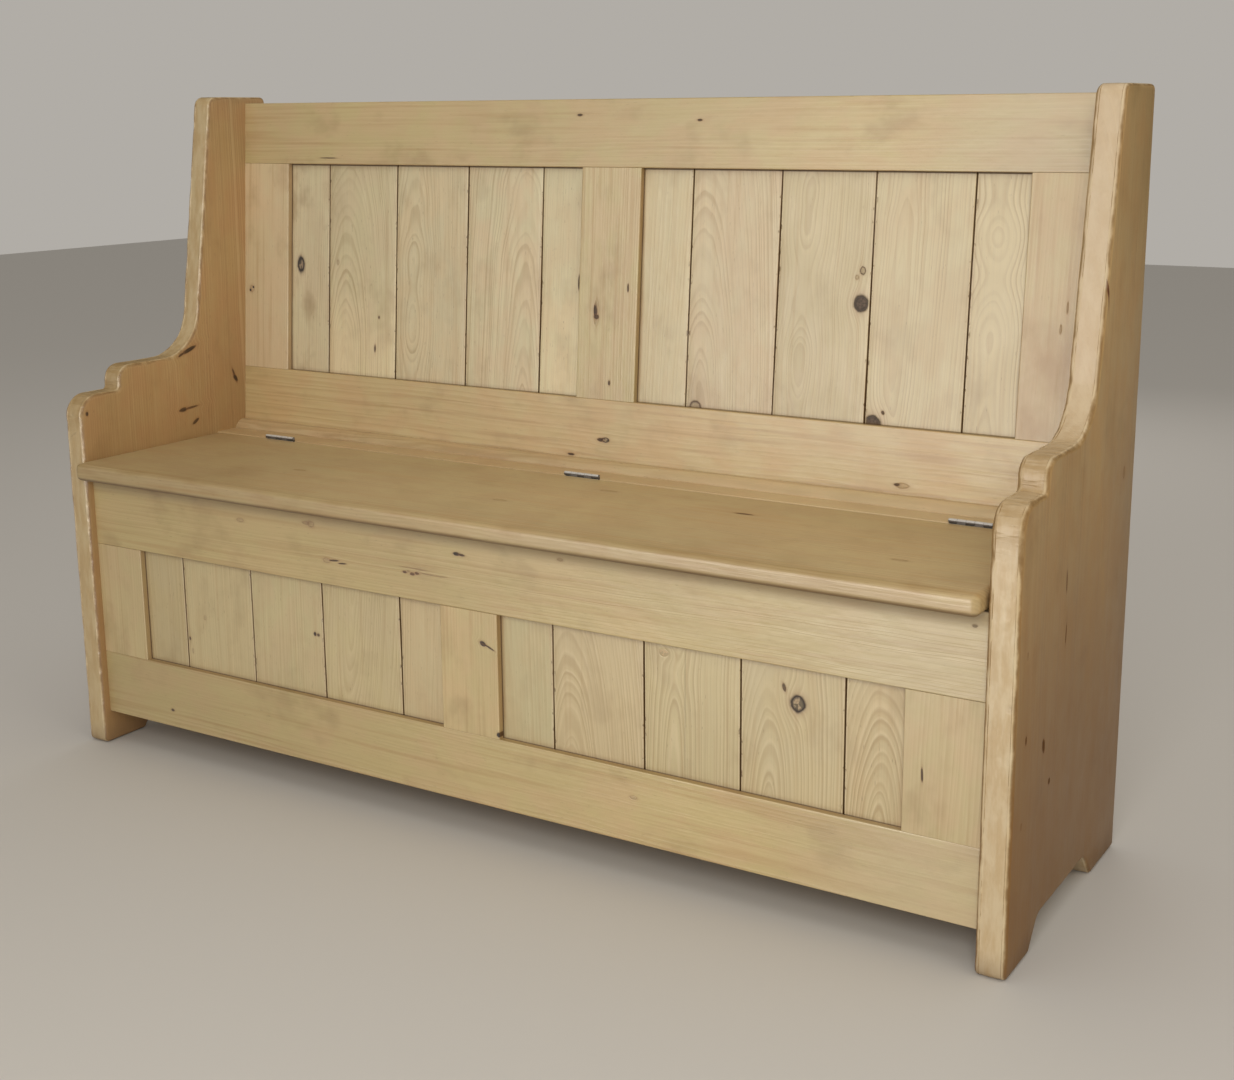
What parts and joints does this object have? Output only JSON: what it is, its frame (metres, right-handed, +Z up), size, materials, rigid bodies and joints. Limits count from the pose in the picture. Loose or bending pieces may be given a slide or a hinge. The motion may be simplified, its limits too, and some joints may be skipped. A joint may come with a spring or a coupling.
{
  "type": "settle bench",
  "caption": "Pine box settle with shaped winged end panels, framed and boarded front and leaning back, and a hinged lid seat over a storage box.",
  "frame": {"origin": "middle of the footprint on the floor", "axes": "+Z up, +X to the right seen from the front, the front faces -Y"},
  "size_m": [1.5, 0.453, 0.994],
  "materials": {
    "end_pine": "waxed old pine, satin",
    "frame_pine": "waxed old pine, satin",
    "board_pine": "waxed old pine, satin",
    "seat_pine": "waxed old pine, satin, worn",
    "carcase_pine": "unfinished sawn pine",
    "hinge_steel": "aged plated steel",
    "screw_steel": "zinc plated steel"
  },
  "bodies": {
    "frame": {"back_bottom_rail": "frame_pine", "back_left_board_1": "board_pine", "back_left_board_2": "board_pine", "back_left_board_3": "board_pine", "back_left_board_4": "board_pine", "back_left_board_5": "board_pine", "back_left_stile": "frame_pine", "back_muntin": "frame_pine", "back_right_board_1": "board_pine", "back_right_board_2": "board_pine", "back_right_board_3": "board_pine", "back_right_board_4": "board_pine", "back_right_board_5": "board_pine", "back_right_stile": "frame_pine", "back_top_rail": "frame_pine", "box_floor_board_front": "carcase_pine", "box_floor_board_rear": "carcase_pine", "cleat_screws": "screw_steel", "end_panel_left": "end_pine", "end_panel_right": "end_pine", "floor_bearer_middle": "carcase_pine", "floor_cleat_left": "carcase_pine", "floor_cleat_right": "carcase_pine", "front_bottom_rail": "frame_pine", "front_left_board_1": "board_pine", "front_left_board_2": "board_pine", "front_left_board_3": "board_pine", "front_left_board_4": "board_pine", "front_left_board_5": "board_pine", "front_left_stile": "frame_pine", "front_muntin": "frame_pine", "front_right_board_1": "board_pine", "front_right_board_2": "board_pine", "front_right_board_3": "board_pine", "front_right_board_4": "board_pine", "front_right_board_5": "board_pine", "front_right_stile": "frame_pine", "front_top_rail": "frame_pine", "hinge_centre_ledge_leaf": "hinge_steel", "hinge_centre_pin": "hinge_steel", "hinge_ledge": "seat_pine", "hinge_left_ledge_leaf": "hinge_steel", "hinge_left_pin": "hinge_steel", "hinge_right_ledge_leaf": "hinge_steel", "hinge_right_pin": "hinge_steel", "ledge_bead": "seat_pine", "ledge_hinge_screws": "screw_steel", "lower_back_board_lower": "carcase_pine", "lower_back_board_upper": "carcase_pine", "seat_cleat_left": "carcase_pine", "seat_cleat_right": "carcase_pine"},
    "lid": {"seat_lid": "seat_pine", "lid_batten_left": "carcase_pine", "lid_batten_right": "carcase_pine", "hinge_left_lid_leaf": "hinge_steel", "hinge_centre_lid_leaf": "hinge_steel", "hinge_right_lid_leaf": "hinge_steel", "lid_hinge_screws": "screw_steel", "lid_batten_screws": "screw_steel"}
  },
  "joints": [
    {"name": "lid_hinge", "type": "hinge", "parent": "frame", "child": "lid", "pos_m": [0, 0.0725, 0.4573], "axis": [-1, 0, 0], "range_deg": [0, 105]}
  ]
}
